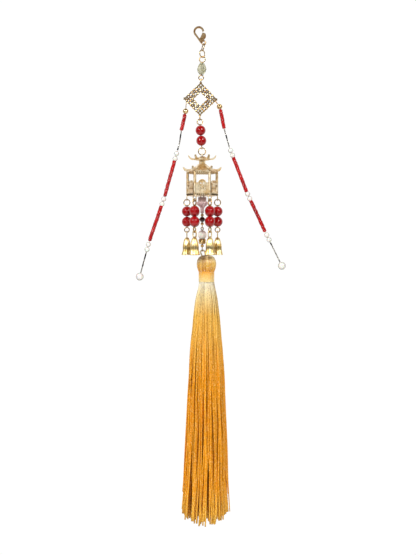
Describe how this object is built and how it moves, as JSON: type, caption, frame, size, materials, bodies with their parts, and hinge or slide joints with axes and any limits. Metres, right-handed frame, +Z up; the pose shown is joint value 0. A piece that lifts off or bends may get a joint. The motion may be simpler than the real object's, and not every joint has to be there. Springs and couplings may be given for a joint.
{
  "type": "beaded palace-lantern tassel charm",
  "caption": "Hanging charm with a lobster clasp, fretwork connector, side bead strands, small gold palace lantern with bell dangles, and a long silk tassel.",
  "frame": {"origin": "middle of the clasp's hook opening, where a cord or hook passes", "axes": "+Z up along the hang, +X to the right seen from the front, -Y towards the front"},
  "size_m": [0.0881, 0.0284, 0.2922],
  "materials": {
    "antique_gold": "satin",
    "spring_steel": "satin",
    "silver_plate": "polished",
    "clear_crystal": "gloss",
    "red_glass": "gloss",
    "seed_glass": "gloss",
    "garnet_glass": "gloss",
    "pink_glass": "satin",
    "pearl_lustre": "satin",
    "thread": "matte",
    "tassel_silk": "satin"
  },
  "bodies": {
    "clasp": {"clasp_body": "antique_gold", "clasp_pin": "antique_gold", "clasp_spring": "spring_steel"},
    "lever": {"clasp_lever": "antique_gold"},
    "upper_ring": {"clasp_ring": "antique_gold"},
    "lower_ring": {"chain_ring": "antique_gold"},
    "crystal_link": {"crystal_pin": "antique_gold", "crystal_bead": "clear_crystal"},
    "connector": {"fretwork_connector": "antique_gold"},
    "neck_link": {"neck_pin": "antique_gold", "neck_beads": "red_glass"},
    "lantern_link": {"lantern_ring": "antique_gold"},
    "lantern": {"palace_lantern": "antique_gold"},
    "centre_drop": {"drop_pin": "antique_gold", "flower_bead": "pink_glass", "spacer_balls": "antique_gold", "garnet_bead": "garnet_glass"},
    "pearl_link": {"pearl_pin": "antique_gold", "petal_pearl": "pearl_lustre", "pearl_cap": "antique_gold"},
    "tassel": {"tassel_cord": "tassel_silk", "tassel_head": "tassel_silk", "neck_wrap": "tassel_silk"},
    "skirt": {"tassel_skirt": "tassel_silk"},
    "dangle_1": {"dangle_1_pin": "antique_gold", "dangle_1_beads": "red_glass"},
    "bell_1": {"dangle_1_bell": "antique_gold"},
    "dangle_2": {"dangle_2_pin": "antique_gold", "dangle_2_beads": "red_glass"},
    "bell_2": {"dangle_2_bell": "antique_gold"},
    "dangle_3": {"dangle_3_pin": "antique_gold", "dangle_3_beads": "red_glass"},
    "bell_3": {"dangle_3_bell": "antique_gold"},
    "dangle_4": {"dangle_4_pin": "antique_gold", "dangle_4_beads": "red_glass"},
    "bell_4": {"dangle_4_bell": "antique_gold"},
    "dangle_5": {"dangle_5_pin": "antique_gold", "dangle_5_beads": "red_glass"},
    "bell_5": {"dangle_5_bell": "antique_gold"},
    "dangle_6": {"dangle_6_pin": "antique_gold", "dangle_6_beads": "red_glass"},
    "bell_6": {"dangle_6_bell": "antique_gold"},
    "left_upper": {"left_crimp": "antique_gold", "left_upper_seeds": "seed_glass", "left_upper_tubes": "silver_plate", "left_upper_thread": "thread"},
    "left_lower": {"left_lower_seeds": "seed_glass", "left_lower_pearls": "pearl_lustre", "left_lower_tube": "silver_plate", "left_lower_thread": "thread"},
    "right_upper": {"right_crimp": "antique_gold", "right_upper_seeds": "seed_glass", "right_upper_tubes": "silver_plate", "right_upper_thread": "thread"},
    "right_lower": {"right_lower_seeds": "seed_glass", "right_lower_pearls": "pearl_lustre", "right_lower_tube": "silver_plate", "right_lower_thread": "thread"}
  },
  "joints": [
    {"name": "lever_hinge", "type": "hinge", "parent": "clasp", "child": "lever", "pos_m": [0.00116, 0, -0.00397], "axis": [0, -1, 0], "range_deg": [0, 15], "stiffness_Nm_per_rad": 0.0004, "springref_deg": -11.46, "deforming": ["clasp_spring"]},
    {"name": "upper_ring_swing", "type": "hinge", "parent": "clasp", "child": "upper_ring", "pos_m": [0.0027, 0, -0.0072], "axis": [1, 0, 0], "range_deg": [-15, 15]},
    {"name": "lower_ring_swing", "type": "hinge", "parent": "upper_ring", "child": "lower_ring", "pos_m": [0.00173, 0, -0.01091], "axis": [-0.2503, 0.9659, 0.0657], "range_deg": [-12, 12]},
    {"name": "crystal_swing", "type": "hinge", "parent": "lower_ring", "child": "crystal_link", "pos_m": [0.00193, 0, -0.01475], "axis": [0.6419, 0.766, 0.0336], "range_deg": [-12, 12]},
    {"name": "connector_swing", "type": "hinge", "parent": "crystal_link", "child": "connector", "pos_m": [0.00105, 0, -0.02802], "axis": [0.9638, -0.2588, -0.064], "range_deg": [-12, 12]},
    {"name": "neck_swing", "type": "hinge", "parent": "connector", "child": "neck_link", "pos_m": [0.00039, 0, -0.05169], "axis": [0, 1, 0], "range_deg": [-8, 8]},
    {"name": "lantern_ring_swing", "type": "hinge", "parent": "neck_link", "child": "lantern_link", "pos_m": [0.00162, 0, -0.06848], "axis": [0, -1, 0], "range_deg": [-12, 12]},
    {"name": "lantern_swing", "type": "hinge", "parent": "lantern_link", "child": "lantern", "pos_m": [0.0018, 0, -0.07201], "axis": [0.9986, 0, 0.0523], "range_deg": [-15, 15]},
    {"name": "drop_swing", "type": "hinge", "parent": "lantern", "child": "centre_drop", "pos_m": [0.0018, 0, -0.09802], "axis": [1, 0, 0], "range_deg": [-3, 3]},
    {"name": "pearl_swing", "type": "hinge", "parent": "centre_drop", "child": "pearl_link", "pos_m": [0.0018, 0, -0.11509], "axis": [0, 1, 0], "range_deg": [-4, 8]},
    {"name": "tassel_swing", "type": "hinge", "parent": "pearl_link", "child": "tassel", "pos_m": [0.0018, 0, -0.12865], "axis": [0, -1, 0], "range_deg": [-8, 4]},
    {"name": "skirt_swing", "type": "hinge", "parent": "tassel", "child": "skirt", "pos_m": [0.0043, 0, -0.1515], "axis": [0, 1, 0], "range_deg": [-12, 12]},
    {"name": "dangle_1_swing", "type": "hinge", "parent": "lantern", "child": "dangle_1", "pos_m": [0.0108, 0, -0.09882], "axis": [0, -1, 0], "range_deg": [-2, 35]},
    {"name": "bell_1_swing", "type": "hinge", "parent": "dangle_1", "child": "bell_1", "pos_m": [0.0108, 0, -0.11739], "axis": [1, 0, 0], "range_deg": [-9, 9]},
    {"name": "dangle_2_swing", "type": "hinge", "parent": "lantern", "child": "dangle_2", "pos_m": [0.0063, 0.00779, -0.09882], "axis": [0.866, -0.5, 0], "range_deg": [-2, 35]},
    {"name": "bell_2_swing", "type": "hinge", "parent": "dangle_2", "child": "bell_2", "pos_m": [0.0063, 0.00779, -0.11739], "axis": [0.5, 0.866, 0], "range_deg": [-9, 9]},
    {"name": "dangle_3_swing", "type": "hinge", "parent": "lantern", "child": "dangle_3", "pos_m": [-0.0027, 0.00779, -0.09882], "axis": [0.866, 0.5, 0], "range_deg": [-2, 35]},
    {"name": "bell_3_swing", "type": "hinge", "parent": "dangle_3", "child": "bell_3", "pos_m": [-0.0027, 0.00779, -0.11739], "axis": [-0.5, 0.866, 0], "range_deg": [-9, 9]},
    {"name": "dangle_4_swing", "type": "hinge", "parent": "lantern", "child": "dangle_4", "pos_m": [-0.0072, 0, -0.09882], "axis": [0, 1, 0], "range_deg": [-2, 35]},
    {"name": "bell_4_swing", "type": "hinge", "parent": "dangle_4", "child": "bell_4", "pos_m": [-0.0072, 0, -0.11739], "axis": [-1, 0, 0], "range_deg": [-9, 9]},
    {"name": "dangle_5_swing", "type": "hinge", "parent": "lantern", "child": "dangle_5", "pos_m": [-0.0027, -0.00779, -0.09882], "axis": [-0.866, 0.5, 0], "range_deg": [-2, 35]},
    {"name": "bell_5_swing", "type": "hinge", "parent": "dangle_5", "child": "bell_5", "pos_m": [-0.0027, -0.00779, -0.11739], "axis": [-0.5, -0.866, 0], "range_deg": [-9, 9]},
    {"name": "dangle_6_swing", "type": "hinge", "parent": "lantern", "child": "dangle_6", "pos_m": [0.0063, -0.00779, -0.09882], "axis": [-0.866, -0.5, 0], "range_deg": [-2, 35]},
    {"name": "bell_6_swing", "type": "hinge", "parent": "dangle_6", "child": "bell_6", "pos_m": [0.0063, -0.00779, -0.11739], "axis": [0.5, -0.866, 0], "range_deg": [-9, 9]},
    {"name": "left_strand_swing", "type": "hinge", "parent": "connector", "child": "left_upper", "pos_m": [-0.00738, 0, -0.03898], "axis": [0, 1, 0], "range_deg": [-3, 60]},
    {"name": "left_strand_bend", "type": "hinge", "parent": "left_upper", "child": "left_lower", "pos_m": [-0.0128, 0, -0.0695], "axis": [0, 1, 0], "range_deg": [-8, 40]},
    {"name": "right_strand_swing", "type": "hinge", "parent": "connector", "child": "right_upper", "pos_m": [0.00885, 0, -0.03943], "axis": [0, -1, 0], "range_deg": [-3, 50]},
    {"name": "right_strand_bend", "type": "hinge", "parent": "right_upper", "child": "right_lower", "pos_m": [0.01786, 0, -0.06774], "axis": [0, -1, 0], "range_deg": [-8, 40]}
  ]
}
